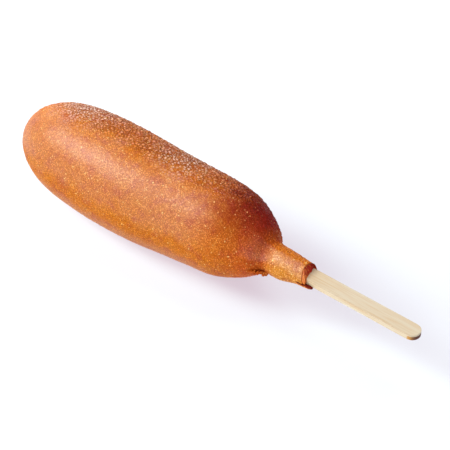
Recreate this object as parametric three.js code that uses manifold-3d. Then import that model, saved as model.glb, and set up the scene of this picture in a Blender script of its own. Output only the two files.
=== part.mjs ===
// A corn dog lying on its side: a sausage-shaped body of fried cornmeal batter that narrows
// to a short collar, and a flat wooden stick that runs out of the collar's broken mouth.
// Millimetres, +X from the rounded far end towards the tip of the stick, +Z up, resting on z = 0.
import * as THREE from 'three';
import { mergeVertices } from 'three/addons/utils/BufferGeometryUtils.js';
import Module from 'manifold-3d';

// Body: x is measured from the tip of the rounded far end, angles run from +Y towards +Z.
const BODY_LENGTH = 119;
const AXIS_HEIGHT = 19.6;
const GIRTH_STEP = BODY_LENGTH / 6;
const GIRTH_RADII = [17.25, 18.35, 19.85, 19.65, 18.35, 17.15, 14.3]; // before the ends round off
const BEND_STEP = 30;
const BEND_OFFSETS = [0.45, -0.25, -0.6, 1.05, 0.05, 0]; // sideways, along y
const FAR_END = { length: 26.9, power: 2.15 };
const NEAR_END = { length: 26.7, power: 2.4 };

// The near end's underside is lifted, most along its lowest line.
const NEAR_LIFT = { height: 1.2, start: 94, full: 110, fade: 115, end: 121 };

// Resting strip pressed flat along the underside.
const REST = { depth: 0.3, start: 26, end: 80, fade: 16, sharpness: 3 };

// Collar round the stick. Its root is a tight fillet, but flares softly on the upper near side.
const COLLAR_ROOT_RADIUS = 5.9;
const COLLAR_MOUTH_RADIUS = 4.5;
const COLLAR_TAPER_START = 122.2;
const COLLAR_TAPER_END = 134;
const COLLAR_RISE = 1.1;
const ROOT_FILLET = 3.2;
const SOFT_ROOT = { fillet: 7, angle: 122, width: 46 };

// Broken mouth: the crust's edge and the crumb inside, which climbs towards the stick.
const MOUTH_X = 134.7;
const CRUST_THICKNESS = 0.6;
const CRUMB_RECESS = 0.4;
const CRUMB_CLIMB = 0.9;
const CHIP = { depth: 1.6, angle: 105, width: 62 };
const FAR_CHIP = { depth: 0.3, angle: 20, width: 25 };
const EDGE_REACH = 5; // how far back the uneven edge pulls the crust

// Shred of crust left hanging below the stick's near lower edge.
const SHRED = { x: 131.6, y: -4.2, fall: 1.3, climb: 0.5, length: 7.3, height: 1, thickness: 1.4 };
const SHRED_TAPER = 0.35;
const SHRED_WAVE = { depth: 0.12, count: 1.1 };

// Ruffle of small batter lumps low on the near side of the collar's root.
const LUMP_COUNT = 6;
const LUMP = { radius: 0.85, x: 114.6, fromAxis: 9, angle: 198 };
const LUMP_STEP = { x: 0.6, fromAxis: -0.45, angle: 5 };
const LUMP_WANDER = 0.2;
const LUMP_KNOBS = 0.25;

// Stick.
const STICK_LENGTH = 140;
const STICK_WIDTH = 6.35;
const STICK_THICKNESS = 2.15;
const STICK_TIP_X = 181.2;
const STICK_EDGE = 0.25;
const STICK_CLEARANCE = 0.3;
const STICK_HEIGHT = AXIS_HEIGHT + COLLAR_RISE;

// Fineness of the mesh.
const ROUND_SEGMENTS = 60;
const FAR_END_STEPS = 13;
const GIRTH_SPACING = 5;
const NEAR_END_STEPS = 12;
const FILLET_STEPS = 6;
const COLLAR_STEPS = 8;

const { clamp, degToRad, euclideanModulo, lerp, radToDeg, smoothstep } = THREE.MathUtils;
const wasm = await Module();
wasm.setup();

// A smooth curve through evenly spaced values, as a function of distance.
function through(values, step) {
  const at = (i) => values[clamp(i, 0, values.length - 1)];
  return (x) => {
    const i = clamp(Math.floor(x / step), 0, values.length - 2);
    const t = clamp(x / step - i, 0, 1);
    const startSlope = (at(i + 1) - at(i - 1)) / 2;
    const endSlope = (at(i + 2) - at(i)) / 2;
    const rise = at(i + 1) - at(i);
    const square = 3 * rise - 2 * startSlope - endSlope;
    const cube = startSlope + endSlope - 2 * rise;
    return at(i) + t * (startSlope + t * (square + t * cube));
  };
}

// A rounded bump of height 1 centred on an angle, all in degrees.
function angularBump(degrees, { angle, width }) {
  const away = euclideanModulo(degrees - angle + 180, 360) - 180;
  return Math.exp(-((away / width) ** 2));
}

const girth = through(GIRTH_RADII, GIRTH_STEP);
const bend = through(BEND_OFFSETS, BEND_STEP);

// Outline points hold the radius in x and the distance along the body in y, as a lathe wants.
function farEndPoint(turn) {
  const x = FAR_END.length * (1 - Math.cos(turn) ** (2 / FAR_END.power));
  return new THREE.Vector2(girth(x) * Math.sin(turn) ** (2 / FAR_END.power), x);
}

function nearEndPoint(turn) {
  const start = BODY_LENGTH - NEAR_END.length;
  const x = start + NEAR_END.length * Math.sin(turn) ** (2 / NEAR_END.power);
  return new THREE.Vector2(girth(x) * Math.cos(turn) ** (2 / NEAR_END.power), x);
}

function collarRadius(x) {
  const taper = smoothstep(x, COLLAR_TAPER_START, COLLAR_TAPER_END);
  return lerp(COLLAR_ROOT_RADIUS, COLLAR_MOUTH_RADIUS, taper);
}

// Centre of a ball that touches the near end at the given turn.
function ballCentre(turn, ball) {
  const nudge = 1e-4;
  const along = nearEndPoint(turn + nudge).sub(nearEndPoint(turn - nudge)).normalize();
  const outward = new THREE.Vector2(along.y, -along.x);
  return nearEndPoint(turn).add(outward.multiplyScalar(ball));
}

// The turn of the near end at which a ball of that radius also touches the collar.
function filletTurn(ball) {
  let low = 0.5;
  let high = 1.5;
  for (let pass = 0; pass < 40; pass += 1) {
    const middle = (low + high) / 2;
    const centre = ballCentre(middle, ball);
    if (centre.x > collarRadius(centre.y) + ball) {
      low = middle;
    } else {
      high = middle;
    }
  }
  return low;
}

// The outline from the far tip along body, fillet and collar, and over the mouth to the axis.
function batterOutline(fillet) {
  const outline = [new THREE.Vector2(0, 0)];
  for (let i = 1; i <= FAR_END_STEPS; i += 1) {
    outline.push(farEndPoint((i / FAR_END_STEPS) * (Math.PI / 2)));
  }

  const plainLength = BODY_LENGTH - NEAR_END.length - FAR_END.length;
  const plainSteps = Math.ceil(plainLength / GIRTH_SPACING);
  for (let i = 1; i < plainSteps; i += 1) {
    const x = FAR_END.length + (i / plainSteps) * plainLength;
    outline.push(new THREE.Vector2(girth(x), x));
  }

  const lastTurn = filletTurn(fillet);
  for (let i = 0; i <= NEAR_END_STEPS; i += 1) {
    outline.push(nearEndPoint((i / NEAR_END_STEPS) * lastTurn));
  }

  const centre = ballCentre(lastTurn, fillet);
  const startAngle = outline.at(-1).clone().sub(centre).angle() - 2 * Math.PI;
  for (let i = 1; i <= FILLET_STEPS; i += 1) {
    const spoke = new THREE.Vector2(fillet, 0);
    spoke.rotateAround(new THREE.Vector2(), lerp(startAngle, -Math.PI, i / FILLET_STEPS));
    outline.push(spoke.add(centre));
  }

  for (let i = 1; i <= COLLAR_STEPS; i += 1) {
    const x = lerp(centre.y, MOUTH_X - CRUST_THICKNESS / 2, i / COLLAR_STEPS);
    outline.push(new THREE.Vector2(collarRadius(x), x));
  }

  const crumbRadius = COLLAR_MOUTH_RADIUS - CRUST_THICKNESS;
  outline.push(new THREE.Vector2(COLLAR_MOUTH_RADIUS - CRUST_THICKNESS / 2, MOUTH_X));
  outline.push(new THREE.Vector2(crumbRadius, MOUTH_X - CRUMB_RECESS));
  outline.push(new THREE.Vector2(crumbRadius / 2, MOUTH_X + CRUMB_CLIMB / 2));
  outline.push(new THREE.Vector2(0, MOUTH_X + CRUMB_CLIMB));
  return outline;
}

// How far the underside reaches down below a round section, so that it rests along a strip.
function restSag(x) {
  const fadeIn = smoothstep(x, REST.start - REST.fade, REST.start);
  const fadeOut = 1 - smoothstep(x, REST.end, REST.end + REST.fade);
  return Math.max(0, AXIS_HEIGHT + REST.depth - girth(x)) * fadeIn * fadeOut;
}

// How far the collar's rise and the near end's lift raise a point.
function riseAt(x, angle) {
  const rise = COLLAR_RISE * smoothstep(x, COLLAR_TAPER_START, MOUTH_X);
  const fadeIn = smoothstep(x, NEAR_LIFT.start, NEAR_LIFT.full);
  const fadeOut = 1 - smoothstep(x, NEAR_LIFT.fade, NEAR_LIFT.end);
  return rise + NEAR_LIFT.height * fadeIn * fadeOut * ((1 - Math.sin(angle)) / 2);
}

// Where the batter has the point that lies at this radius, distance and angle of a turned body.
function batterPoint(radius, x, angle) {
  const down = Math.max(0, -Math.sin(angle)) ** REST.sharpness;
  const sag = restSag(x) * (radius / girth(x)) * down;
  const degrees = radToDeg(angle);
  const chipped = CHIP.depth * angularBump(degrees, CHIP);
  const farChipped = FAR_CHIP.depth * angularBump(degrees, FAR_CHIP);
  const share = smoothstep(x, MOUTH_X - EDGE_REACH, MOUTH_X) * (radius / COLLAR_MOUTH_RADIUS);
  return new THREE.Vector3(
    x - (chipped + farChipped) * share,
    bend(x) + radius * Math.cos(angle),
    AXIS_HEIGHT + riseAt(x, angle) - sag + radius * Math.sin(angle),
  );
}

// Puts every corner of a geometry where move(point, index) says.
function reshape(geometry, move) {
  const { position } = geometry.attributes;
  for (let i = 0; i < position.count; i += 1) {
    const point = move(new THREE.Vector3().fromBufferAttribute(position, i), i);
    position.setXYZ(i, point.x, point.y, point.z);
  }
  return geometry;
}

// Body and collar as one turned solid, whose root is softer where the collar flares.
function turnedBatter() {
  const tight = batterOutline(ROOT_FILLET);
  const soft = batterOutline(SOFT_ROOT.fillet);
  const turned = new THREE.LatheGeometry(tight, ROUND_SEGMENTS);
  turned.rotateZ(-Math.PI / 2);
  return reshape(turned, (point, i) => {
    const row = i % tight.length;
    const angle = Math.atan2(point.z, point.y);
    const outlinePoint = tight[row].clone();
    outlinePoint.lerp(soft[row], angularBump(radToDeg(angle), SOFT_ROOT));
    return batterPoint(outlinePoint.x, outlinePoint.y, angle);
  });
}

// A flat stick lying along x with round ends, larger by margin and with its edges eased.
function stickGeometry(margin, edge) {
  const radius = STICK_WIDTH / 2 + margin - edge;
  const tipCentre = STICK_TIP_X - STICK_WIDTH / 2;
  const buttCentre = STICK_TIP_X - STICK_LENGTH + STICK_WIDTH / 2;
  const outline = new THREE.Shape();
  outline.absarc(tipCentre, 0, radius, -Math.PI / 2, Math.PI / 2, false);
  outline.absarc(buttCentre, 0, radius, Math.PI / 2, (3 * Math.PI) / 2, false);
  const depth = STICK_THICKNESS + 2 * margin - 2 * edge;
  const geometry = new THREE.ExtrudeGeometry(outline, {
    depth,
    curveSegments: 16,
    bevelEnabled: edge > 0,
    bevelSize: edge,
    bevelThickness: edge,
    bevelSegments: 2,
  });
  return geometry.translate(0, 0, STICK_HEIGHT - depth / 2);
}

// The shred of crust: a wavy bar that climbs a little and thins towards its free end.
function shredGeometry() {
  const { climb, length, height, thickness } = SHRED;
  const bar = new THREE.BoxGeometry(length, thickness, height, 6, 1, 2);
  bar.translate(length / 2, 0, 0);
  reshape(bar, (point) => {
    const along = point.x / length;
    const size = 1 - SHRED_TAPER * along ** 2;
    const wave = SHRED_WAVE.depth * Math.sin(2 * Math.PI * SHRED_WAVE.count * along);
    return point.set(point.x, point.y * size, point.z * size + climb * along - wave);
  });
  return bar.translate(SHRED.x, SHRED.y, STICK_HEIGHT - SHRED.fall);
}

// One knobbly lump of the ruffle, the index choosing its place and its knobs.
function lumpGeometry(index) {
  const lump = new THREE.IcosahedronGeometry(LUMP.radius, 2);
  reshape(lump, (point) => {
    const knob = Math.sin(3 * point.x + index) * Math.cos(3 * point.y - index);
    return point.multiplyScalar(1 + LUMP_KNOBS * knob);
  });
  const angle = degToRad(LUMP.angle + index * LUMP_STEP.angle);
  const wander = LUMP_WANDER * Math.sin(4 * index);
  const fromAxis = LUMP.fromAxis + index * LUMP_STEP.fromAxis + wander;
  return lump.translate(
    LUMP.x + index * LUMP_STEP.x,
    fromAxis * Math.cos(angle),
    AXIS_HEIGHT + fromAxis * Math.sin(angle),
  );
}

// A closed solid from a geometry, its shared corners merged and collapsed triangles dropped.
function toSolid(geometry) {
  geometry.deleteAttribute('normal');
  geometry.deleteAttribute('uv');
  const merged = mergeVertices(geometry, 1e-3);
  const corners = merged.index.array;
  const kept = [];
  for (let i = 0; i < corners.length; i += 3) {
    const triangle = corners.slice(i, i + 3);
    if (new Set(triangle).size === 3) {
      kept.push(...triangle);
    }
  }
  const vertProperties = new Float32Array(merged.attributes.position.array);
  const triVerts = new Uint32Array(kept);
  return new wasm.Manifold(new wasm.Mesh({ numProp: 3, vertProperties, triVerts }));
}

function toGeometry(solid) {
  const mesh = solid.getMesh();
  const geometry = new THREE.BufferGeometry();
  geometry.setAttribute('position', new THREE.BufferAttribute(mesh.vertProperties, 3));
  geometry.setIndex(new THREE.BufferAttribute(mesh.triVerts, 1));
  geometry.computeVertexNormals();
  return geometry;
}

// The batter: body, shred and lumps joined, the stick's slot cut out, the underside cut flat.
function batterGeometry() {
  let solid = toSolid(turnedBatter()).add(toSolid(shredGeometry()));
  for (let index = 0; index < LUMP_COUNT; index += 1) {
    solid = solid.add(toSolid(lumpGeometry(index)));
  }
  const ground = new THREE.BoxGeometry(2 * BODY_LENGTH, 4 * AXIS_HEIGHT, 2 * AXIS_HEIGHT);
  ground.translate(BODY_LENGTH / 2, 0, -AXIS_HEIGHT);
  return toGeometry(solid.subtract(toSolid(stickGeometry(STICK_CLEARANCE, 0)))
    .subtract(toSolid(ground)));
}

const fried = new THREE.MeshStandardMaterial({ color: 0xc4702f, roughness: 0.5, metalness: 0 });
const wood = new THREE.MeshStandardMaterial({ color: 0xe8d2a8, roughness: 0.7, metalness: 0 });

const batter = new THREE.Mesh(batterGeometry(), fried);
batter.name = 'batter';
const stick = new THREE.Mesh(stickGeometry(0, STICK_EDGE), wood);
stick.name = 'stick';

const group = new THREE.Group();
group.add(batter, stick);
const middle = new THREE.Box3().setFromObject(group, true).getCenter(new THREE.Vector3());
group.position.set(-middle.x, -middle.y, 0);

export default group;
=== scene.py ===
"""A corn dog lying on its side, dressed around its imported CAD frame.

The fried batter is drawn as an outline, spun, bent and pebbled. Its torn shred and its ruffle are
modelled apart and joined to it. The flat stick is drawn as a grid, rounded, thickened and grained.
Everything is placed in metres in the frame of the CAD part: +X runs from the rounded far end to the
tip of the stick, +Z is up, and the corn dog rests on z = 0.
"""

import logging
import math
import random
from dataclasses import dataclass
from enum import Enum

import bpy
import numpy as np
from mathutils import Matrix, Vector, noise


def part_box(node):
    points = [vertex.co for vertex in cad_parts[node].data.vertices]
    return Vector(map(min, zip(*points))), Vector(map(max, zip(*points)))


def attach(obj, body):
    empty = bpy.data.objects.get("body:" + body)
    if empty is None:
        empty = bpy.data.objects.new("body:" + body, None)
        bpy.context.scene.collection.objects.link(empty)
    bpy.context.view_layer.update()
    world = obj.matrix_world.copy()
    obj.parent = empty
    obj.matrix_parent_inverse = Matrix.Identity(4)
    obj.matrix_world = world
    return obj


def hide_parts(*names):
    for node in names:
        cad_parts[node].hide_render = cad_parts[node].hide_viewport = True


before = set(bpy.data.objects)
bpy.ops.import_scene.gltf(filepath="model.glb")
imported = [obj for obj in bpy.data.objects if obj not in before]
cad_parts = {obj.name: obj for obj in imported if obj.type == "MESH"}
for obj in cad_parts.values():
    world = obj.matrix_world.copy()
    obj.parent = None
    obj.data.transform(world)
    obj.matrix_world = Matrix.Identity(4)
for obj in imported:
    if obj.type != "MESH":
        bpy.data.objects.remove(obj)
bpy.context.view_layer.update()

MM = 0.001
SEAM = 1e-7  # Vertices closer than this are one.
MIX_COLOURS = (0, 6, 7)  # Sockets of a Mix node for the factor and the two colours.
BODY = "root"
ROW = "row"
log = logging.getLogger("corn_dog")

Piece = bpy.types.Object
Material = bpy.types.Material
Array = np.ndarray
Colour = tuple[float, float, float]
Point = tuple[float, float, float]
Span = tuple[float, float]
Spot = tuple[float, float, float, float]
Spots = tuple[Spot, ...]

WHITE: Colour = (1.0, 1.0, 1.0)
EVEN: Point = (1.0, 1.0, 1.0)


class Slot(Enum):
    """Names for the batter's and the stick's material slots."""

    BATTER = "fried_batter"
    WOOD = "stick_wood"


class Mark(Enum):
    """Attributes that the batter's mesh carries for its finish."""

    CRUMB = "crumb"
    RIM = "rim"
    # Painted shade, and the shred's scorched top.
    CREASE = "shade_and_scorch"


# ---- Numbers and curves ----


def smoothstep(value: Array, low: float, high: float) -> Array:
    """A smooth rise from 0 at low to 1 at high."""
    share = np.clip((value - low) / (high - low), 0.0, 1.0)
    return share * share * (3.0 - 2.0 * share)


def angular_bump(degrees: Array, centre: float, width: float) -> Array:
    """A rounded bump of height 1 centred on an angle, all in degrees."""
    away = (degrees - centre + 180.0) % 360.0 - 180.0
    return np.exp(-((away / width) ** 2))


def srgb(red: float, green: float, blue: float) -> Colour:
    """Scene-linear colour of a display colour whose channels run from 0 to 255."""
    parts = [channel / 255.0 for channel in (red, green, blue)]
    return tuple(c / 12.92 if c <= 0.04045 else ((c + 0.055) / 1.055) ** 2.4 for c in parts)


def curve(values: tuple[float, ...], step: float, place: Array) -> Array:
    """A smooth curve through evenly spaced values.

    Args:
        values: The values.
        step: Distance from one value to the next.
        place: Distances from the first value.

    Returns:
        One value for each place.
    """
    values = np.array(values)
    last = len(values) - 1
    index = np.clip(np.floor(place / step), 0, last - 1).astype(int)
    t = np.clip(place / step - index, 0.0, 1.0)
    before, start = values[np.maximum(index - 1, 0)], values[index]
    end, after = values[index + 1], values[np.minimum(index + 2, last)]
    start_slope, end_slope, rise = (end - before) / 2, (after - start) / 2, end - start
    square = 3 * rise - 2 * start_slope - end_slope
    cube = start_slope + end_slope - 2 * rise
    return start + t * (start_slope + t * (square + t * cube))


# ---- Mesh helpers ----


def deselect_all() -> None:
    """Leaves edit mode and deselects every object."""
    if bpy.context.object and bpy.context.object.mode != "OBJECT":
        bpy.ops.object.mode_set(mode="OBJECT")
    bpy.ops.object.select_all(action="DESELECT")


def pick(piece: Piece) -> None:
    """Makes a piece the only selected one, and the active one."""
    deselect_all()
    piece.select_set(True)
    bpy.context.view_layer.objects.active = piece


def open_mesh() -> None:
    """Opens the active piece in edit mode with its whole mesh selected."""
    bpy.ops.object.mode_set(mode="EDIT")
    bpy.ops.mesh.select_all(action="SELECT")


def close_mesh() -> None:
    """Turns the open mesh's faces outward and leaves edit mode."""
    bpy.ops.mesh.select_all(action="SELECT")
    bpy.ops.mesh.normals_make_consistent(inside=False)
    bpy.ops.object.mode_set(mode="OBJECT")


def extrude(step: Vector | Point) -> None:
    """Extrudes what is selected in the open mesh by a step."""
    bpy.ops.mesh.extrude_region_move(TRANSFORM_OT_translate={"value": step})


def apply_place(piece: Piece) -> None:
    """Moves a piece's place, turn and scale into its mesh."""
    pick(piece)
    bpy.ops.object.transform_apply(location=True, rotation=True, scale=True)


def rows_of(elements: bpy.types.bpy_prop_collection, name: str) -> Array:
    """One vector of each mesh element, as rows of x, y, z."""
    numbers = np.empty(len(elements) * 3, np.float32)
    elements.foreach_get(name, numbers)
    return numbers.reshape(-1, 3).astype(float)


def corners_of(piece: Piece) -> Array:
    """The piece's vertices as rows of x, y, z."""
    return rows_of(piece.data.vertices, "co")


def raise_skin(piece: Piece, heights: Array) -> Array:
    """Moves every vertex along its normal.

    Args:
        piece: The object to change.
        heights: How far each vertex moves, in metres.

    Returns:
        The new places.
    """
    ways = rows_of(piece.data.vertex_normals, "vector")
    places = corners_of(piece) + ways * heights[:, None]
    set_corners(piece, places)
    return places


def set_corners(piece: Piece, places: Array) -> None:
    """Puts the piece's vertices at new places."""
    piece.data.vertices.foreach_set("co", places.astype(np.float32).ravel())
    piece.data.update()


def write_numbers(piece: Piece, name: str, values: Array) -> None:
    """Stores one number for each vertex under that name."""
    layer = piece.data.attributes.new(name, "FLOAT", "POINT")
    layer.data.foreach_set("value", np.asarray(values, np.float32))


def write_marks(piece: Piece, crumb: Array, rim: Array, shade_and_scorch: Array) -> None:
    """Stores the three marks that the finish reads."""
    for mark, values in zip(Mark, (crumb, rim, shade_and_scorch)):
        write_numbers(piece, mark.value, values)


def add_modifier(piece: Piece, kind: str, **settings: object) -> None:
    """Adds a modifier with its settings and applies it.

    Args:
        piece: The object to change.
        kind: Blender's name for the modifier's type.
        settings: The modifier's own properties.
    """
    pick(piece)
    modifier = piece.modifiers.new(kind.title(), kind)
    for name, value in settings.items():
        setattr(modifier, name, value)
    bpy.ops.object.modifier_apply(modifier=modifier.name)


def cloud(places: Array, size: float, seed: float, octaves: int = 1) -> Array:
    """Soft noise from about -1 to 1 at each place, with finer layers added to it."""
    shifted = places / size + seed
    return np.array([noise.fractal(Vector(p), 0.9, 2.1, octaves) for p in shifted])


def pebbles(places: Array, size: float, seed: float) -> Array:
    """Rounded bumps with creases between them, 1 on top and 0 in a crease.

    Args:
        places: Rows of x, y, z.
        size: Distance between neighbouring bumps.
        seed: Moves the pattern to another part of space.

    Returns:
        One value for each place.
    """
    shifted = places / size + seed
    gaps = np.array([noise.voronoi(Vector(p))[0][:2] for p in shifted])
    return smoothstep(gaps[:, 1] - gaps[:, 0], 0.0, 0.7)


# ---- Shader helpers ----


class Signal:
    """A shader value that Python arithmetic can be written on."""

    def __init__(self, graph: "Graph", socket: bpy.types.NodeSocket | None) -> None:
        """Wraps an output socket of a node in graph."""
        self.graph = graph
        self.socket = socket

    def out(self, name: str) -> "Signal":
        """The same node's output of that name."""
        return Signal(self.graph, self.socket.node.outputs[name])

    def __add__(self, other: object) -> "Signal":
        """This value plus another."""
        return self.graph.math("ADD", self, other)

    def __sub__(self, other: object) -> "Signal":
        """This value less another."""
        return self.graph.math("SUBTRACT", self, other)

    def __rsub__(self, other: object) -> "Signal":
        """Another value less this one."""
        return self.graph.math("SUBTRACT", other, self)

    def __mul__(self, other: object) -> "Signal":
        """This value times another."""
        return self.graph.math("MULTIPLY", self, other)

    def __truediv__(self, other: object) -> "Signal":
        """This value divided by another."""
        return self.graph.math("DIVIDE", self, other)

    def __pow__(self, other: object) -> "Signal":
        """This value to the power of another."""
        return self.graph.math("POWER", self, other)

    def ramp(self, low: float, high: float, start: float = 0.0, end: float = 1.0) -> "Signal":
        """A smooth step: start at and below low, end at and above high."""
        inputs = {"Value": self, "From Min": low, "From Max": high, "To Min": start, "To Max": end}
        return self.graph.node("ShaderNodeMapRange", inputs, interpolation_type="SMOOTHSTEP")


class Graph:
    """The node tree of one new material."""

    def __init__(self, name: str) -> None:
        """Starts an empty material.

        Args:
            name: The material's name.
        """
        self.material = bpy.data.materials.new(name)
        self.material.use_nodes = True
        self.tree = self.material.node_tree
        self.tree.nodes.clear()

    def node(self, kind: str, inputs: dict | None = None, **settings: object) -> Signal:
        """Adds a node, sets its settings first and its sockets after.

        Args:
            kind: The node's type.
            inputs: Socket names or numbers with a value or a signal for each.
            settings: The node's own properties.

        Returns:
            The node's first output that is switched on.
        """
        made = self.tree.nodes.new(kind)
        for name, value in settings.items():
            setattr(made, name, value)
        for name, value in (inputs or {}).items():
            socket = made.inputs[name]
            if isinstance(value, Signal):
                self.tree.links.new(value.socket, socket)
            elif isinstance(value, tuple) and socket.type == "RGBA":
                socket.default_value = (*value, 1.0)
            else:
                socket.default_value = value
        return Signal(self, next((s for s in made.outputs if s.enabled), None))

    def math(self, operation: str, *values: object) -> Signal:
        """A Math node on numbers and signals."""
        return self.node("ShaderNodeMath", dict(enumerate(values)), operation=operation)

    def times(self, first: Signal, second: object) -> Signal:
        """One vector or colour times another, part by part."""
        return self.node("ShaderNodeVectorMath", {0: first, 1: second}, operation="MULTIPLY")

    def place(self, stretch: Point = EVEN) -> Signal:
        """Object coordinates, stretched along each axis."""
        return self.times(self.node("ShaderNodeTexCoord").out("Object"), stretch)

    def axis(self, name: str) -> Signal:
        """Object coordinate X, Y or Z in millimetres."""
        return self.node("ShaderNodeSeparateXYZ", {0: self.place()}).out(name) * (1.0 / MM)

    def mark(self, mark: Mark) -> Signal:
        """A number that the mesh carries at each vertex."""
        return self.node("ShaderNodeAttribute", attribute_name=mark.value).out("Fac")

    def clouds(self, size: float, detail: float = 2.0, stretch: Point = EVEN) -> Signal:
        """Soft noise around 0.5 that changes over size metres, with finer layers of detail."""
        inputs = {"Vector": self.place(stretch), "Scale": 1.0 / size, "Detail": detail}
        return self.node("ShaderNodeTexNoise", inputs)

    def cells(self, size: float, feature: str = "F1") -> Signal:
        """Cells with a random centre each, size metres apart."""
        inputs = {"Vector": self.place(), "Scale": 1.0 / size}
        return self.node("ShaderNodeTexVoronoi", inputs, feature=feature)

    def chance(self, cells: Signal) -> Signal:
        """A random number from 0 to 1 for each cell."""
        return self.node("ShaderNodeSeparateColor", {0: cells.out("Color")}).out("Red")

    def tint(self, factor: object, first: object, second: object) -> Signal:
        """A blend of two colours: the first where the factor is 0, the second where it is 1."""
        inputs = dict(zip(MIX_COLOURS, (factor, first, second)))
        return self.node("ShaderNodeMix", inputs, data_type="RGBA", clamp_factor=True)

    def shade(self, colour: Signal, mask: Signal, share: Colour) -> Signal:
        """A colour times a share, in full where the mask is 1 and not at all where it is 0."""
        return self.times(colour, self.tint(mask, WHITE, share))

    def bump(self, height: Signal, distance: float, below: Signal | None = None) -> Signal:
        """A normal roughened by a height from 0 to 1.

        Args:
            height: The height.
            distance: Its full height in metres.
            below: A coarser bump that this one lies on.

        Returns:
            The normal.
        """
        inputs = {"Height": height, "Distance": distance, "Strength": 1.0}
        if below is not None:
            inputs["Normal"] = below
        return self.node("ShaderNodeBump", inputs)

    def close(self, shader: dict) -> Material:
        """Adds the shader with these sockets and the output, and returns the material."""
        principled = self.node("ShaderNodeBsdfPrincipled", shader)
        self.node("ShaderNodeOutputMaterial", {"Surface": principled})
        return self.material


# ---- Finishes ----


@dataclass(frozen=True)
class FriedBatter:
    """Fried cornmeal batter: golden, mottled and speckled, browned towards the stick, with painted
    shade and sheen.

    Its place and the sizes of its noise are in metres, its spans and spots in millimetres from the
    far tip. A spot is its distance along, beside and above the body's axis, and its reach. Angles
    run in degrees round the axis, from +Y to +Z. A way is its share of up and its share of +Y.
    """

    far_tip: float
    axis_side: float
    axis_height: float
    golden: Colour = srgb(222, 127, 24)
    pale_gold_and_highlight: Colour = srgb(244, 168, 64)
    orange: Colour = srgb(222, 120, 26)
    russet: Colour = srgb(192, 74, 30)
    sunny: Colour = srgb(226, 142, 40)
    # Partly browned crust, partly painted shade on the near end's upper far side.
    brown_and_shade: Colour = srgb(147, 33, 14)
    dark_share: Colour = (0.84, 0.70, 0.40)
    pale_share: Colour = (1.38, 1.76, 3.60)
    # The back's grain shares are lighter and bluer than the front's: cornmeal grain with painted
    # sheen on the pebble tops.
    dark_back_sheen_share: Colour = (1.20, 1.04, 0.90)
    pale_back_sheen_share: Colour = (1.90, 2.60, 7.00)
    fine_dark_share: Colour = (0.76, 0.62, 0.44)
    fine_pale_share: Colour = (1.24, 1.42, 2.10)
    # Painted shade in the crevices between pebbles.
    crevice_shade_share: Colour = (0.44, 0.27, 0.16)
    ruddy_share: Colour = (1.10, 0.86, 1.05)
    fleck: Colour = srgb(255, 214, 130)
    brown_fleck: Colour = srgb(240, 150, 96)
    crumb: Colour = srgb(240, 132, 64)
    dark_crumb: Colour = srgb(208, 50, 38)
    pale_edge_and_highlight: Colour = srgb(232, 136, 68)
    # Painted sheen colour for the back's pebble tops.
    painted_sheen_colour: Colour = srgb(252, 226, 208)
    # Painted shade colour, also used for the shred's scorched top.
    shade_and_scorch: Colour = srgb(112, 24, 8)
    roughness: Span = (0.36, 0.50)
    gloss: float = 0.06
    oil_index: float = 1.72
    oil_roughness: float = 0.48
    near_oil_angle: float = 136.0
    back_oil_angle: float = 66.0
    upper_way: Span = (0.75, 0.66)
    back_way: Span = (0.82, 0.57)
    back_rise: Span = (11.0, 18.0)
    under_oil_angle: float = 224.0
    root_oil_angle: float = 127.0
    pebble_size: float = 1.25 * MM
    pebble_height: float = 0.62 * MM
    grain_size: float = 0.58 * MM
    grain_height: float = 0.16 * MM
    fine_size: float = 0.24 * MM
    patch_size: float = 3.5 * MM
    wide_size: float = 9 * MM
    dry_tip: Span = (0.0, 10.0)
    oiled_body: Span = (86.0, 104.0)
    oiled_root: Span = (109.0, 116.0)
    orange_rise: Span = (84.0, 108.0)
    brown_rise: Span = (82.0, 110.0)
    brown_fall: Span = (112.5, 121.0)
    ruddy_rise: Span = (106.0, 113.0)
    ruddy_fall: Span = (117.0, 122.0)
    collar_start: Span = (114.0, 121.0)
    pale_and_lit_collar: Span = (115.0, 123.0)
    painted_sheens: Spots = ((72.0, 8.0, 16.5, 18.0), (26.0, 7.0, 16.0, 18.0))
    blushes: Spots = (
        (23.0, -3.0, 18.0, 5.5),
        (8.5, -7.5, 11.5, 4.5),
        (0.0, 0.0, 2.0, 9.0),
        (34.0, -18.5, 2.0, 5.0),
    )

    def material(self) -> Material:
        """The finish as a material."""
        graph = Graph("fried_batter")
        back = self.back_side(graph)
        gap = graph.cells(self.pebble_size, "DISTANCE_TO_EDGE").out("Distance")
        crevice = gap.ramp(0.0, 0.34, 1.0, 0.0)
        grain = self.grain(graph)
        fine = graph.clouds(self.fine_size, 1.0).ramp(0.36, 0.64)
        skin = self.skin_colour(graph, grain, fine, crevice, back)
        # Painted shade in the root's crease, under the knobs and on the far lip; the shred's
        # scorched top shares the colour.
        colour = graph.tint(graph.mark(Mark.CREASE), skin, self.shade_and_scorch)
        # Paler edge of the crust on the mouth's near lip, partly painted highlight; the shred's
        # lower strip takes it too.
        colour = graph.tint(graph.mark(Mark.RIM), colour, self.pale_edge_and_highlight)
        colour = graph.tint(graph.mark(Mark.CRUMB), colour, self.crumb_colour(graph))
        pebbled = graph.bump((1.0 - crevice) * (back * 0.9 + 0.1), self.pebble_height)
        oil = self.oil(graph, crevice) * (fine * 0.5 + grain * 0.4 + 0.6)
        return graph.close({
            "Base Color": colour,
            "Roughness": graph.clouds(2.5 * MM).ramp(0.3, 0.7, *self.roughness),
            "Normal": graph.bump(grain + fine * 0.7, self.grain_height, pebbled),
            "Specular IOR Level": self.gloss,
            "Coat Weight": oil * (1.0 - graph.mark(Mark.CRUMB)),
            "Coat Roughness": self.oil_roughness,
            "Coat IOR": self.oil_index,
        })

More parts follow.
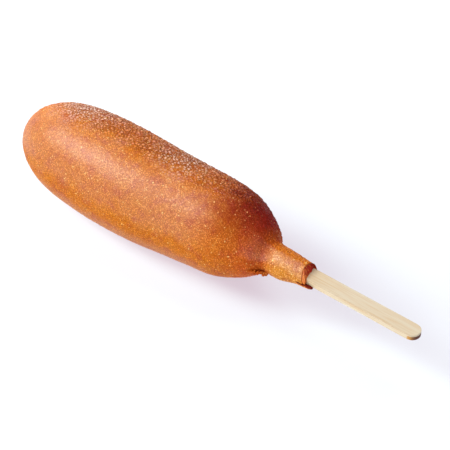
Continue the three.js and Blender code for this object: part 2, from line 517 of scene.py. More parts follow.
    def grain(self, graph: Graph) -> Signal:
        """Fine grains of cornmeal in the crust, from 0 between them to 1 on the palest."""
        cells = graph.cells(self.grain_size)
        ragged = cells.out("Distance") + (graph.clouds(0.35 * MM) - 0.5) * 0.7
        return (0.6 - ragged).ramp(0.0, 0.4) * graph.chance(cells).ramp(0.0, 0.9, 0.25, 1.0)

    def crumb_colour(self, graph: Graph) -> Signal:
        """Colour of the crumb in the mouth, darker above and on its far side."""
        _, side, up = self.place(graph)
        pale = (graph.clouds(0.8 * MM, 3.0) - side * 0.04 - up * 0.02).ramp(0.36, 0.62)
        return graph.tint(pale, self.dark_crumb, self.crumb)

    def oil(self, graph: Graph, crevice: Signal) -> Signal:
        """How much oil the crust holds: much along its upper near side and its pebbled back.

        Args:
            graph: The material's graph.
            crevice: How deep in a crevice between two pebbles a place lies.

        Returns:
            The coat's weight.
        """
        along, side, up = self.place(graph)
        away = (side * side + up * up + 0.01) ** 0.5
        wander = (graph.clouds(7 * MM) - 0.5) * 0.3

        def streak(degrees: float, low: float, high: float) -> Signal:
            """A streak along the body, centred on an angle round its axis."""
            turn = math.radians(degrees)
            toward = side * math.cos(turn) + up * math.sin(turn)
            return (toward / away + wander).ramp(low, high)

        body = (along + wander * 20.0).ramp(*self.oiled_body, 1.0, 0.0)
        tip = along.ramp(*self.dry_tip, 0.35, 1.0)
        near = streak(self.near_oil_angle, 0.7, 0.98) * (body * 0.85 + 0.05)
        root = streak(self.root_oil_angle, 0.84, 1.0) * along.ramp(*self.oiled_root) * 0.9
        back = streak(self.back_oil_angle, 0.72, 0.94) * (1.0 - crevice) ** 2.0
        under = streak(self.under_oil_angle, 0.75, 0.98) * body * 0.4
        return (near + back * (body * 0.95 + 0.05)) * tip + root + under

    def skin_colour(
        self, graph: Graph, grain: Signal, fine: Signal, crevice: Signal, back: Signal
    ) -> Signal:
        """Colour of the crust.

        Args:
            graph: The material's graph.
            grain: How pale the cornmeal's grain is.
            fine: Finer, softer mottling.
            crevice: How deep in a crevice between two pebbles a place lies.
            back: 1 on the coarsely pebbled back.

        Returns:
            The colour.
        """
        wide = graph.clouds(self.wide_size, 3.0)
        patch = graph.clouds(self.patch_size, 3.0)
        along, side, up = self.place(graph)
        upper = up * self.upper_way[0] + side * self.upper_way[1]
        body = along.ramp(*self.collar_start, 1.0, 0.0)
        toward = (along + upper * 0.4 + (wide - 0.5) * 30.0).ramp(*self.orange_rise) * body
        # Paler on the collar's near side: partly the collar's own paler tone, partly painted
        # highlight.
        pale = along.ramp(*self.pale_and_lit_collar) * side.ramp(-4.5, 1.0, 0.75, 0.0)
        colour = graph.tint(pale, self.golden, self.pale_gold_and_highlight)
        colour = graph.tint(toward, colour, self.orange)
        colour = graph.tint(patch.ramp(0.5, 0.68) * 0.45, colour, self.russet)
        for spot in self.spots(graph, self.blushes, (patch - 0.5) * 8.0, 0.55):
            colour = graph.tint(spot, colour, self.russet)
        colour = graph.tint(patch.ramp(0.3, 0.46, 0.4, 0.0) * body, colour, self.sunny)
        # Browned towards the near end and darker on its upper far side: partly real browning,
        # partly painted shade.
        near = (along + (patch - 0.5) * 12.0).ramp(*self.brown_rise)
        near = near * along.ramp(*self.brown_fall, 1.0, 0.1)
        browned_and_shaded = near * ((upper + (wide - 0.5) * 10.0).ramp(-5.0, 13.0) * 0.94 + 0.06)
        colour = graph.tint(browned_and_shaded, colour, self.brown_and_shade)
        root = along.ramp(*self.ruddy_rise) * along.ramp(*self.ruddy_fall, 1.0, 0.0)
        colour = graph.shade(colour, root, self.ruddy_share)
        smooth = graph.tint(grain, self.dark_share, self.pale_share)
        # On the back the grain carries painted sheen: its pale tops are lighter and bluer.
        sheened_coarse = graph.tint(grain, self.dark_back_sheen_share, self.pale_back_sheen_share)
        colour = graph.times(colour, graph.tint(back, smooth, sheened_coarse))
        colour = graph.times(colour, graph.tint(fine, self.fine_dark_share, self.fine_pale_share))
        # Painted sheen: pale spots on the back's pebble tops stand in for the back light's sheen.
        for spot in self.spots(graph, self.painted_sheens, (patch - 0.5) * 12.0, 0.74):
            colour = graph.tint(spot * (1.0 - crevice), colour, self.painted_sheen_colour)
        # Painted shade: darker in the crevices between pebbles, most of all on the back.
        colour = graph.shade(colour, crevice * (back * 0.85 + 0.1), self.crevice_shade_share)
        fleck = graph.tint(browned_and_shaded, self.fleck, self.brown_fleck)
        colour = graph.tint(self.flecks(graph, 1.3 * MM, 0.2) * 0.75, colour, fleck)
        return graph.tint(self.flecks(graph, 2.2 * MM, 0.15), colour, fleck)

    def spots(self, graph: Graph, spots: Spots, ragged: Signal, most: float) -> list[Signal]:
        """Soft spots with ragged edges.

        Args:
            graph: The material's graph.
            spots: Where they are and how far they reach.
            ragged: Noise in millimetres that moves their edges.
            most: What a spot's middle comes to.

        Returns:
            One mask for each spot.
        """
        along, side, up = self.place(graph)
        masks = []
        for ahead, beside, above, reach in spots:
            gap = ((along - ahead) ** 2.0 + (side - beside) ** 2.0 + (up - above) ** 2.0) ** 0.5
            masks.append((gap + ragged).ramp(0.0, reach, most, 0.0))
        return masks

    def flecks(self, graph: Graph, spacing: float, largest: float) -> Signal:
        """Pale flecks of cornmeal, one at most in each cell.

        Args:
            graph: The material's graph.
            spacing: Distance between neighbouring cells.
            largest: Radius of the largest fleck, as a share of the spacing.

        Returns:
            1 in a fleck and 0 outside.
        """
        cells = graph.cells(spacing)
        size = graph.chance(cells).ramp(0.1, 0.9, 0.0, largest)
        return (size - cells.out("Distance")).ramp(0.0, 0.25 * largest)

    def back_side(self, graph: Graph) -> Signal:
        """Marks the coarsely pebbled upper far side.

        Args:
            graph: The finish's graph.

        Returns:
            1 there and 0 elsewhere.
        """
        _, side, up = self.place(graph)
        wander = (graph.clouds(5 * MM) - 0.5) * 8.0
        up_share, side_share = self.back_way
        return (side * side_share + up * up_share + wander).ramp(*self.back_rise)

    def place(self, graph: Graph) -> tuple[Signal, Signal, Signal]:
        """Distance along from the far tip, and beside and above the axis, in millimetres."""
        origin = (self.far_tip, self.axis_side, self.axis_height)
        return tuple(graph.axis(name) - start / MM for name, start in zip("XYZ", origin))


@dataclass(frozen=True)
class PaleBirch:
    """Unfinished birch: pale, with fine grain along it and a dark end face with painted shade."""

    low: Vector
    high: Vector
    pale: Colour = srgb(223, 209, 182)
    grain: Colour = srgb(212, 180, 134)
    top_face_shade_share: Colour = (0.83, 0.82, 0.82)
    oiled_share: Colour = (0.98, 0.91, 0.80)
    tan_end: Colour = srgb(206, 148, 70)
    dark_end_shade: Colour = srgb(96, 40, 14)
    roughness: float = 0.62
    streak_size: float = 0.55 * MM
    broad_size: float = 2.2 * MM
    grain_height: float = 0.05 * MM
    stretch: Point = (0.045, 1.0, 1.0)
    oiled_span: Span = (36.0, 58.0)

    def material(self) -> Material:
        """The finish as a material."""
        graph = Graph("pale_birch")
        streaks = graph.clouds(self.streak_size, 3.0, self.stretch)
        broad = graph.clouds(self.broad_size, 2.0, self.stretch)
        colour = graph.tint(streaks.ramp(0.42, 0.68) * 0.55, self.pale, self.grain)
        colour = graph.tint(broad.ramp(0.45, 0.75) * 0.35, colour, self.grain)
        # Painted shade: the top face is a little darker than the sides.
        level = (graph.axis("Z") - self.high.z / MM).ramp(-0.35, -0.05)
        colour = graph.shade(colour, level, self.top_face_shade_share)
        oiled = (graph.axis("X") - broad * 8.0).ramp(*self.oiled_span, 1.0, 0.0)
        colour = graph.shade(colour, oiled, self.oiled_share)
        # Darker end grain with painted shade on the end face round the tip.
        colour = graph.tint(self.end_face(graph), colour, self.end_face_colour(graph))
        return graph.close({
            "Base Color": colour,
            "Roughness": self.roughness,
            "Normal": graph.bump(streaks, self.grain_height),
        })

    def end_face(self, graph: Graph) -> Signal:
        """Where the end face is darker: darker end grain and painted shade.

        Args:
            graph: The material's graph.

        Returns:
            1 on the upright face round the tip and 0 elsewhere.
        """
        radius = (self.high.y - self.low.y) / 2 / MM
        along = graph.axis("X") - (self.high.x / MM - radius)
        across = graph.axis("Y") - (self.high.y + self.low.y) / 2 / MM
        away = (along * along + across * across) ** 0.5
        below = (graph.axis("Z") - self.high.z / MM).ramp(-0.75, -0.45, 1.0, 0.0)
        return (away - radius).ramp(-0.4, -0.15) * along.ramp(-0.2, 0.5) * below

    def end_face_colour(self, graph: Graph) -> Signal:
        """Colour of the end face, darker end grain with painted shade, darkest at the tip itself.
        """
        darker = (graph.axis("X") - self.high.x / MM).ramp(-2.6, -0.3)
        return graph.tint(darker, self.tan_end, self.dark_end_shade)


@dataclass(frozen=True)
class WhitePaper:
    """Matt white paper."""

    white: Colour = (0.24, 0.31, 0.29)
    glow: Colour = (0.90, 0.77, 0.91)
    glow_strength: float = 0.65
    roughness: float = 0.9
    gloss: float = 0.1
    fibre_size: float = 4 * MM
    fibre_share: float = 0.99

    def material(self) -> Material:
        """The finish as a material."""
        graph = Graph("white_paper")
        fibre = graph.clouds(self.fibre_size, 3.0)
        shaded = tuple(self.fibre_share * channel for channel in self.white)
        colour = graph.tint(fibre, self.white, shaded)
        return graph.close({
            "Base Color": colour,
            "Roughness": self.roughness,
            "Specular IOR Level": self.gloss,
            "Emission Color": self.glow,
            "Emission Strength": self.glow_strength,
        })


# ---- Batter ----


@dataclass
class Batter:
    """Body, collar and broken mouth of fried batter, with its shred and its ruffle.

    Its place is in metres and its sizes are in millimetres. Distances along it start at the tip of
    its far end. Angles are in degrees, from +Y towards +Z. A side is an angle and how wide it is,
    and a relief is the size of its noise and its height.
    """

    far_tip: float
    axis_side: float
    axis_height: float = 19.6
    length: float = 119.0
    radii: tuple[float, ...] = (17.25, 18.35, 19.85, 19.65, 18.35, 17.15, 14.3)
    bends: tuple[float, ...] = (0.2, -0.25, -0.6, 1.05, 0.05, 0)
    bend_step: float = 30.0
    far_end: Span = (26.9, 2.15)
    near_end: Span = (26.7, 2.4)
    tip_reach: float = 0.2
    tip_fade: float = 20.0
    rest_depth: float = 0.3
    rest_span: Span = (26.0, 80.0)
    rest_fade: float = 16.0
    near_lift: float = 1.2
    lift_span: tuple[float, ...] = (94.0, 110.0, 115.0, 121.0)
    collar_root: float = 5.9
    collar_mouth: float = 4.5
    collar_taper: Span = (122.2, 134.0)
    collar_rise: float = 1.1
    tight_fillet: float = 3.2
    soft_fillet: float = 7.0
    fillet_turns: Span = (0.5, 1.5)
    halvings: int = 40
    soft_side: Span = (122.0, 46.0)
    mouth: float = 134.7
    crust: float = 0.3
    crumb_recess: float = 0.35
    crumb_climb: float = 0.25
    chip: Point = (1.6, 105.0, 62.0)
    tooth: Point = (0.3, 20.0, 25.0)
    edge_reach: float = 5.0
    crumb_fill: Point = (1.75, 168.0, 45.0)
    crumb_hollow: Point = (0.5, 20.0, 60.0)
    swell: Span = (16.0, 0.10)
    dimples: Span = (3.2, 0.05)
    pebble_relief: Span = (1.3, 0.10)
    back_pebbles: float = 0.22
    back_edge: Span = (75.0, 115.0)
    collar_fade: Span = (119.0, 126.0)
    crumb_relief: Span = (0.8, 0.16)
    lip_side: Span = (238.0, 20.0)
    rim_side: Span = (165.0, 55.0)
    far_lip_side: Span = (50.0, 45.0)
    root_crease_shade: Span = (116.4, 2.4)
    root_side: Span = (203.0, 22.0)
    shred_start: Point = (131.6, -4.0, 19.4)
    shred_size: Span = (1.7, 0.9)
    shred_relief: Span = (1.1, 0.14)
    shred_steps: tuple[Point, ...] = (
        (1.7, 0.0, 1.0), (1.5, 0.1, 0.98), (1.4, 0.12, 0.96),
        (1.2, 0.12, 0.92), (0.9, 0.1, 0.82), (0.5, 0.05, 0.6),
    )
    knob_radius: float = 0.7
    knob_stretch: Point = (1.3, 0.85, 0.9)
    knob_relief: Span = (1.0, 0.2)
    knob_row: Point = (114.3, 9.4, 189.0)
    knob_step: Point = (0.43, -0.30, 2.5)
    knob_sizes: tuple[float, ...] = (0.7, 0.9, 1.1, 0.8, 1.2, 0.9, 1.1, 1.0, 1.3, 1.2, 1.3, 1.2)
    knob_wander: Point = (0.45, 0.25, 4.0)
    knob_turns: Point = (1.0, 0.4, 1.3)
    knob_lift: float = 0.03
    knob_seed: int = 11
    spokes: int = 240
    gather: Span = (0.4, 75.0)
    far_steps: int = 70
    plain_steps: int = 140
    near_steps: int = 52
    fillet_steps: int = 26
    collar_steps: int = 52
    edge_steps: int = 7
    crumb_steps: int = 14
    wall_steps: int = 10

    def girth(self, along: Array) -> Array:
        """Radius of the body before its ends round off."""
        return curve(self.radii, self.length / (len(self.radii) - 1), along)

    def bend(self, along: Array) -> Array:
        """Sideways bend of the body's line."""
        return curve(self.bends, self.bend_step, along)

    def collar_radius(self, along: Array) -> Array:
        """Radius of the collar."""
        taper = smoothstep(along, *self.collar_taper)
        return self.collar_root + (self.collar_mouth - self.collar_root) * taper

    def near_point(self, turn: Array) -> Array:
        """Point or points of the near end's outline.

        Args:
            turn: From 0 where the end starts to a quarter turn at its tip.

        Returns:
            Rows of distance along and radius.
        """
        length, power = self.near_end
        start = self.length - length
        along = start + length * np.sin(turn) ** (2 / power)
        return np.stack([along, self.girth(along) * np.cos(turn) ** (2 / power)], -1)

    def ball_centre(self, turn: float, ball: float) -> Array:
        """Centre of a ball that touches the near end from outside.

        Args:
            turn: Where it touches, as in near_point.
            ball: The ball's radius.

        Returns:
            Distance along and radius.
        """
        nudge = 1e-4
        way = self.near_point(turn + nudge) - self.near_point(turn - nudge)
        way /= np.linalg.norm(way)
        return self.near_point(turn) + ball * np.array([-way[1], way[0]])

    def fillet_turn(self, ball: float) -> float:
        """Turn of the near end at which a ball from outside also touches the collar.

        Args:
            ball: The ball's radius.

        Returns:
            The turn, found by halving.
        """
        low, high = self.fillet_turns
        for _ in range(self.halvings):
            middle = (low + high) / 2
            along, radius = self.ball_centre(middle, ball)
            if radius > self.collar_radius(along) + ball:
                low = middle
            else:
                high = middle
        return low

    def outline(self, fillet: float) -> Array:
        """Outline from the far tip over body, fillet and collar into the mouth.

        Args:
            fillet: Radius of the fillet at the collar's root.

        Returns:
            Rows of distance along and radius.
        """
        length, power = self.far_end
        turn = np.linspace(0, math.pi / 2, self.far_steps + 1)
        along = length * (1 - np.cos(turn) ** (2 / power))
        rows = [np.stack([along, self.girth(along) * np.sin(turn) ** (2 / power)], -1)]

        near_start = self.length - self.near_end[0]
        along = np.linspace(length, near_start, self.plain_steps + 1)[1:-1]
        rows.append(np.stack([along, self.girth(along)], -1))

        last_turn = self.fillet_turn(fillet)
        rows.append(self.near_point(np.linspace(0, last_turn, self.near_steps + 1)))

        centre = self.ball_centre(last_turn, fillet)
        spoke = rows[-1][-1] - centre
        start = math.atan2(spoke[0], -spoke[1])
        swing = np.linspace(start, 0, self.fillet_steps + 1)[1:]
        rows.append(centre + fillet * np.stack([np.sin(swing), -np.cos(swing)], -1))

        along = np.linspace(centre[0], self.mouth - self.crust, self.collar_steps + 1)[1:]
        rows.append(np.stack([along, self.collar_radius(along)], -1))
        rows.append(self.mouth_outline())
        return np.concatenate(rows)

    def mouth_outline(self) -> Array:
        """Outline over the crust's edge and across the crumb to the axis."""
        turn = np.linspace(0, math.pi, self.edge_steps + 1)[1:]
        half = self.crust / 2
        edge = np.stack([
            self.mouth - self.crust + self.crust * np.sin(turn),
            self.collar_mouth - half + half * np.cos(turn),
        ], -1)
        crumb_radius = self.collar_mouth - self.crust
        recess = self.mouth - self.crumb_recess
        wall = np.linspace(edge[-1], [recess, crumb_radius], self.wall_steps + 1)
        share = np.linspace(0, 1, self.crumb_steps + 1)[1:]
        rise = self.crumb_recess + self.crumb_climb
        crumb = np.stack([
            recess + rise * np.sin(share * math.pi / 2),
            crumb_radius * (1 - share),
        ], -1)
        return np.concatenate([edge, wall[1:], crumb])

    def draw(self) -> Piece:
        """Draws the outline point by point and spins it once round the axis.

        Returns:
            The turned batter, with the outline's row stored at each vertex.
        """
        outline = self.outline(self.tight_fillet) * MM
        deselect_all()
        bpy.ops.mesh.primitive_plane_add(size=MM, location=(0, 0, 0))
        piece = bpy.context.object
        open_mesh()
        bpy.ops.mesh.merge(type="CENTER")
        here = np.zeros(2)
        for point in outline[1:]:
            ahead, outward = point - here
            extrude((ahead, 0, outward))
            here = point
        bpy.ops.object.mode_set(mode="OBJECT")
        places = corners_of(piece)[:, [0, 2]]
        order = [int(np.argmin(((outline - place) ** 2).sum(1))) for place in places]
        write_numbers(piece, ROW, order)
        open_mesh()
        bpy.ops.mesh.spin(steps=self.spokes, angle=math.tau, center=(0, 0, 0), axis=(1, 0, 0))
        bpy.ops.mesh.select_all(action="SELECT")
        bpy.ops.mesh.remove_doubles(threshold=SEAM)
        close_mesh()
        return piece

    def rest_sag(self, along: Array) -> Array:
        """How far the underside reaches below a round section.

        Args:
            along: Distances from the far tip.

        Returns:
            One depth for each distance.
        """
        start, end = self.rest_span
        fade = smoothstep(along, start - self.rest_fade, start)
        fade = fade * (1 - smoothstep(along, end, end + self.rest_fade))
        return np.maximum(0, self.axis_height + self.rest_depth - self.girth(along)) * fade

    def shape(self, piece: Piece) -> tuple[Array, Array, Array]:
        """Gives the turned batter its soft root, bend, flat rest and uneven mouth.

        Args:
            piece: The turned batter.

        Returns:
            Distance along, radius and angle in degrees of every vertex, in millimetres.
        """
        places = corners_of(piece)
        rows = np.empty(len(places), np.float32)
        piece.data.attributes[ROW].data.foreach_get("value", rows)
        piece.data.attributes.remove(piece.data.attributes[ROW])
        rows = np.rint(rows).astype(int)
        angle = np.arctan2(places[:, 2], places[:, 1])
        angle -= self.gather[0] * np.sin(angle - math.radians(self.gather[1]))
        degrees = np.degrees(angle)
        soft = angular_bump(degrees, *self.soft_side)[:, None]
        tight = self.outline(self.tight_fillet)
        both = tight[rows] * (1 - soft) + self.outline(self.soft_fillet)[rows] * soft
        along, radius = both[:, 0], both[:, 1]

        def on_side(height: float, *side: float) -> Array:
            """A height that fades out round a side."""
            return height * angular_bump(degrees, *side)

        down = np.maximum(0, -np.sin(angle)) ** 3
        sag = self.rest_sag(along) * radius / self.girth(along) * down
        rise = self.collar_rise * smoothstep(along, self.collar_taper[0], self.mouth)
        chipped = smoothstep(along, self.mouth - self.edge_reach, self.mouth)
        chipped = chipped * (on_side(*self.chip) + on_side(*self.tooth))
        chipped = chipped * radius / self.collar_mouth
        wall_start = len(tight) - self.crumb_steps - self.wall_steps - 1
        fill = on_side(*self.crumb_fill) - on_side(*self.crumb_hollow)
        fill = fill * np.clip(radius / (self.collar_mouth - self.crust), 0, 1)
        along = along + fill * np.clip((rows - wall_start) / self.wall_steps, 0, 1)
        start, full, fade, end = self.lift_span
        lift = smoothstep(along, start, full) * (1 - smoothstep(along, fade, end))
        rise = rise + self.near_lift * lift * (1 - np.sin(angle)) / 2
        height = self.axis_height + rise - sag + radius * np.sin(angle)
        shaped = np.stack([
            along - chipped - self.tip_reach * (1 - smoothstep(along, 0, self.tip_fade)),
            self.bend(along) + radius * np.cos(angle),
            np.maximum(height, 0),
        ], -1)
        set_corners(piece, shaped * MM + np.array([self.far_tip, self.axis_side, 0]))
        return along, radius, degrees

    def roughen(self, piece: Piece, along: Array, radius: Array, degrees: Array) -> None:
        """Raises the pebbled crust and the crumb, and marks the crumb, the rim and the painted
        shade.

        Args:
            piece: The shaped batter.
            along: Distance along, for each vertex.
            radius: Distance from the axis, for each vertex.
            degrees: Angle, for each vertex.
        """
        places = corners_of(piece)
        inner = self.collar_mouth - self.crust
        inside = 1 - smoothstep(radius, inner - 0.1, inner + 0.15)
        crumb = inside * smoothstep(along, self.mouth - 2.0, self.mouth - 1.6)
        back = 1 - smoothstep(degrees + 360 * (degrees < -90), *self.back_edge)
        size, low = self.pebble_relief
        skin = (pebbles(places, size * MM, 5.3) - 0.6) * (low + self.back_pebbles * back)
        skin += self.relief(places, self.swell, 3.1, 2) + self.relief(places, self.dimples, 8.7, 2)
        skin = skin * (1 - smoothstep(along, *self.collar_fade) * 0.5)
        heights = skin * (1 - crumb) + crumb * self.relief(places, self.crumb_relief, 2.2, 3)
        above_floor = smoothstep(places[:, 2], 0.1 * MM, 1.2 * MM)
        moved = raise_skin(piece, heights * above_floor * MM)
        moved[:, 2] = np.maximum(moved[:, 2], 0)
        set_corners(piece, moved)

        lip = angular_bump(degrees, *self.lip_side) * 0.65
        rim = smoothstep(along, self.mouth - 0.35, self.mouth - 0.1) * (1 - crumb)
        rim = rim * angular_bump(degrees, *self.rim_side) + lip * crumb
        # Painted shade: darker in the crease at the collar's root, low on the near side, and on the
        # mouth's far lip.
        place, reach = self.root_crease_shade
        root = np.exp(-(((along - place) / reach) ** 2)) * angular_bump(degrees, *self.root_side)
        far_lip = smoothstep(along, self.mouth - 0.6, self.mouth - 0.2) * (1 - crumb)
        far_lip = far_lip * angular_bump(degrees, *self.far_lip_side)
        write_marks(piece, crumb * (1 - lip), rim * 0.8, np.maximum(root * 0.5, far_lip))

    def relief(self, places: Array, relief: Span, seed: float, octaves: int) -> Array:
        """Heights in millimetres of a relief at each place."""
        return cloud(places, relief[0] * MM, seed, octaves) * relief[1]

    def shred(self) -> Piece:
        """Draws the torn shred of crust out below the stick's near edge.

        Returns:
            The shred, with its marks.
        """
        thickness, height = self.shred_size
        start = self.placed(self.shred_start)
        deselect_all()
        bpy.ops.mesh.primitive_plane_add(size=MM, location=start)
        strip = bpy.context.object
        strip.scale = (height, thickness, 1)
        strip.rotation_euler = (0, math.pi / 2, 0)
        apply_place(strip)
        pick(strip)
        open_mesh()
        bpy.ops.mesh.subdivide(number_cuts=1)
        centre = Vector(start)
        for reach, rise, size in self.shred_steps:
            step = Vector((reach, 0, rise)) * MM
            extrude(step)
            centre += step
            bpy.ops.transform.resize(value=(1, size, size), center_override=centre)
        close_mesh()
        add_modifier(strip, "SUBSURF", levels=2, render_levels=2)
        places = raise_skin(strip, self.relief(corners_of(strip), self.shred_relief, 4.4, 3) * MM)
        ahead = (places[:, 0] - start[0]) / MM
        level = (places[:, 2] - start[2]) / MM - ahead * 0.09 + cloud(places, 1.5 * MM, 6.0) * 0.25
        scorched = smoothstep(level + ahead * 0.06, -0.1, 0.35)
        # The shred's upper face is scorched dark; its lower strip takes the paler edge colour.
        write_marks(strip, np.zeros(len(places)), (1 - scorched) * 0.6, scorched)
        return strip

    def ruffle(self) -> list[Piece]:
        """Models a knob of batter once and copies it along the collar's root.

        Returns:
            The knobs, with their marks.
        """
        deselect_all()
        bpy.ops.mesh.primitive_ico_sphere_add(subdivisions=4, radius=self.knob_radius * MM)
        knob = bpy.context.object
        open_mesh()
        bpy.ops.transform.resize(value=self.knob_stretch)
        bpy.ops.object.mode_set(mode="OBJECT")
        raise_skin(knob, self.relief(corners_of(knob), self.knob_relief, 7.3, 1) * MM)
        knobs = [knob]
        for _ in self.knob_sizes[1:]:
            copy = knob.copy()
            copy.data = knob.data.copy()
            bpy.context.scene.collection.objects.link(copy)
            knobs.append(copy)
        chance = random.Random(self.knob_seed)
        for index, (piece, size) in enumerate(zip(knobs, self.knob_sizes)):
            along, away, degrees = (
                start + index * step + chance.uniform(-wander, wander)
                for start, step, wander in zip(self.knob_row, self.knob_step, self.knob_wander)
            )
            angle = math.radians(degrees)
            height = self.axis_height + away * math.sin(angle) + self.knob_lift * index
            centre = self.placed((along, away * math.cos(angle), height))
            piece.location = centre
            piece.scale = (size, size, size)
            piece.rotation_euler = Vector(self.knob_turns) * index + Vector((angle, 0, 0))
            apply_place(piece)
            places = corners_of(piece)
            outward = Vector((0.6, math.cos(angle), math.sin(angle) + 0.5)).normalized()
            level = (places - np.array(centre)) @ np.array(outward) / (self.knob_radius * MM)
            none = np.zeros(len(places))
            # Painted shade: each knob darkens towards its inner side, where it meets the body and
            # its neighbours.
            write_marks(piece, none, none, 0.7 - smoothstep(level, -0.4, 0.5) * 0.6)
        return knobs

    def placed(self, point: Point) -> Point:
        """A point along, beside and above the body, in millimetres, as a place in the frame."""
        return (self.far_tip + point[0] * MM, self.axis_side + point[1] * MM, point[2] * MM)

    def build(self) -> Piece:
        """Builds and dresses the batter.

        Returns:
            The finished piece.
        """
        piece = self.draw()
        piece.name = piece.data.name = "batter_crust"
        along, radius, degrees = self.shape(piece)
        self.roughen(piece, along, radius, degrees)
        parts = [self.shred(), *self.ruffle()]
        pick(piece)
        for part in parts:
            part.select_set(True)
        bpy.ops.object.join()
        bpy.ops.object.shade_smooth()
        finish = FriedBatter(self.far_tip, self.axis_side, self.axis_height * MM)
        piece.data.materials.append(finish.material())
        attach(piece, BODY)
        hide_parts("batter")
        return piece


# ---- Stick ----


@dataclass
class Stick:
    """Flat wooden stick with round ends."""

    low: Vector
    high: Vector
    edge: float = 0.5 * MM
    edge_segments: int = 4
    smooth_angle: float = 40.0
    cells_along: int = 260
    cells_across: int = 16

    def build(self) -> Piece:
        """Builds and dresses the stick.

        Returns:
            The finished piece.
        """
        size = self.high - self.low
        middle = (self.low + self.high) / 2
        deselect_all()
        bpy.ops.mesh.primitive_grid_add(
            x_subdivisions=self.cells_along,
            y_subdivisions=self.cells_across,
            size=1,
            location=(middle.x, middle.y, self.low.z),
        )
        piece = bpy.context.object
        piece.name = piece.data.name = "birch_stick"
        piece.scale = (size.x, size.y, 1)
        apply_place(piece)
        self.round_ends(piece, middle, size)
        open_mesh()
        bpy.ops.mesh.remove_doubles(threshold=SEAM)
        extrude((0, 0, size.z))
        close_mesh()
        edges = {"width": self.edge, "segments": self.edge_segments, "limit_method": "ANGLE"}
        add_modifier(piece, "BEVEL", **edges)
        bpy.ops.object.shade_smooth_by_angle(angle=math.radians(self.smooth_angle))
        piece.data.materials.append(PaleBirch(self.low, self.high).material())
        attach(piece, BODY)
        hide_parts("stick")
        return piece

    def round_ends(self, piece: Piece, middle: Vector, size: Vector) -> None:
        """Draws the flat grid's ends in to half circles.

        Args:
            piece: The grid.
            middle: Middle of the stick.
            size: Length, width and thickness of the stick.
        """
        places = corners_of(piece)
        radius = size.y / 2
        across = np.clip((places[:, 1] - middle.y) / radius, -1, 1)
        away = places[:, 0] - middle.x
        straight = size.x / 2 - radius
        beyond = np.maximum(np.abs(away) - straight, 0)
        drawn = np.minimum(np.abs(away), straight) + beyond * np.sqrt(1 - across**2)
        places[:, 0] = middle.x + np.sign(away) * drawn
        set_corners(piece, places)


# ---- Studio ----


def aim(data: bpy.types.ID, target: Vector, away: Vector) -> Piece:
    """Hangs a light or a camera so that it faces a point.

    Args:
        data: The light or the camera.
        target: The point that it faces.
        away: The way from the point to it.

    Returns:
        The new object.
    """
    item = bpy.data.objects.new(data.name, data)
    bpy.context.scene.collection.objects.link(item)
    item.location = target + away
    item.rotation_euler = away.to_track_quat("Z", "Y").to_euler()
    return item


@dataclass(frozen=True)
class Softbox:
    """A large soft light that faces the corn dog."""

    name: str
    way: Point
    distance: float
    size: Span
    power: float
    paper_only: bool = False

    def build(self, target: Vector, paper: Piece) -> None:
        """Hangs the light.

        Args:
            target: The point that it faces.
            paper: The floor, which is all that a light for the paper alone falls on.
        """
        light = bpy.data.lights.new(self.name, "AREA")
        light.shape = "RECTANGLE"
        light.size, light.size_y = self.size
        light.energy = self.power
        lamp = aim(light, target, Vector(self.way).normalized() * self.distance)
        if self.paper_only:
            lit = bpy.data.collections.new(f"{self.name}_lit")
            lit.objects.link(paper)
            lamp.light_linking.receiver_collection = lit


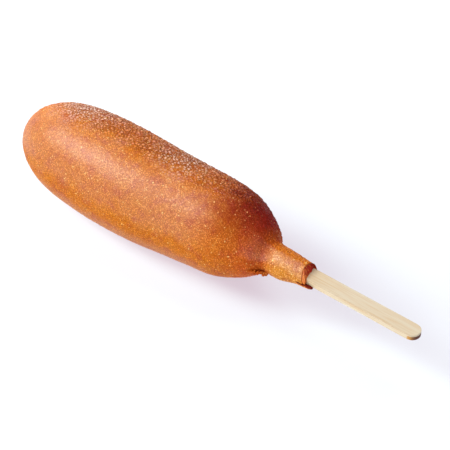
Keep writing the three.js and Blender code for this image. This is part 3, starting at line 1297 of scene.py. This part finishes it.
@dataclass
class Studio:
    """White sweep, soft lights and the camera."""

    target: Vector = Vector((3.32, 3.265, 19.76)) * MM
    turn: float = 39.13
    lift: float = 42.0
    distance: float = 0.640
    sensor: float = 36.0
    pixels: int = 450
    pixels_per_mm: float = 2.75
    clip: Span = (0.01, 20.0)
    floor_size: float = 6.0
    sky_strength: float = 0.10
    boxes: tuple[Softbox, ...] = (
        Softbox("key", (-0.60, -0.42, 0.68), 1.5, (0.7, 0.7), 18.6),
        Softbox("back", (-0.78, 0.6, 0.14), 1.0, (0.6, 0.26), 3.9),
        Softbox("top", (-0.1, 0.5, 0.86), 1.2, (1.0, 0.7), 9.6),
        Softbox("fill", (0.12, -0.93, 0.36), 1.2, (1.2, 1.2), 8.3),
        Softbox("sweep", (-0.86, -0.28, 0.36), 1.3, (0.45, 0.35), 30.0, paper_only=True),
    )

    def build(self) -> None:
        """Builds the floor, the lights, the sky and the camera."""
        paper = self.floor()
        for box in self.boxes:
            box.build(self.target, paper)
        world = bpy.data.worlds.new("sky")
        world.use_nodes = True
        background = world.node_tree.nodes["Background"]
        background.inputs["Color"].default_value = (*WHITE, 1.0)
        background.inputs["Strength"].default_value = self.sky_strength
        bpy.context.scene.world = world
        self.camera()
        view = bpy.context.scene.view_settings
        view.view_transform = "Standard"
        view.look = "None"

    def floor(self) -> Piece:
        """Lays the paper and returns it."""
        deselect_all()
        bpy.ops.mesh.primitive_plane_add(size=self.floor_size, location=(0, 0, 0))
        paper = bpy.context.object
        paper.name = paper.data.name = "paper_floor"
        paper.data.materials.append(WhitePaper().material())
        return paper

    def camera(self) -> None:
        """Sets the camera up."""
        data = bpy.data.cameras.new("camera")
        data.sensor_width = self.sensor
        across = self.pixels / self.pixels_per_mm * MM
        data.lens = self.sensor * self.distance / across
        data.clip_start, data.clip_end = self.clip
        turn, lift = math.radians(self.turn), math.radians(self.lift)
        level = math.cos(lift)
        back = Vector((math.sin(turn) * level, -math.cos(turn) * level, math.sin(lift)))
        bpy.context.scene.camera = aim(data, self.target, back * self.distance)


def main() -> None:
    """Builds the corn dog and its studio."""
    logging.basicConfig(level=logging.INFO, format="%(name)s: %(message)s")
    Studio().build()
    log.info("studio built")
    batter_low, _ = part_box("batter")
    stick_low, stick_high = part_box("stick")
    batter = Batter(batter_low.x, (stick_low.y + stick_high.y) / 2)
    for part in (batter, Stick(stick_low, stick_high)):
        piece = part.build()
        log.info("%s has %d faces", piece.name, len(piece.data.polygons))


if __name__ == "__main__":
    main()
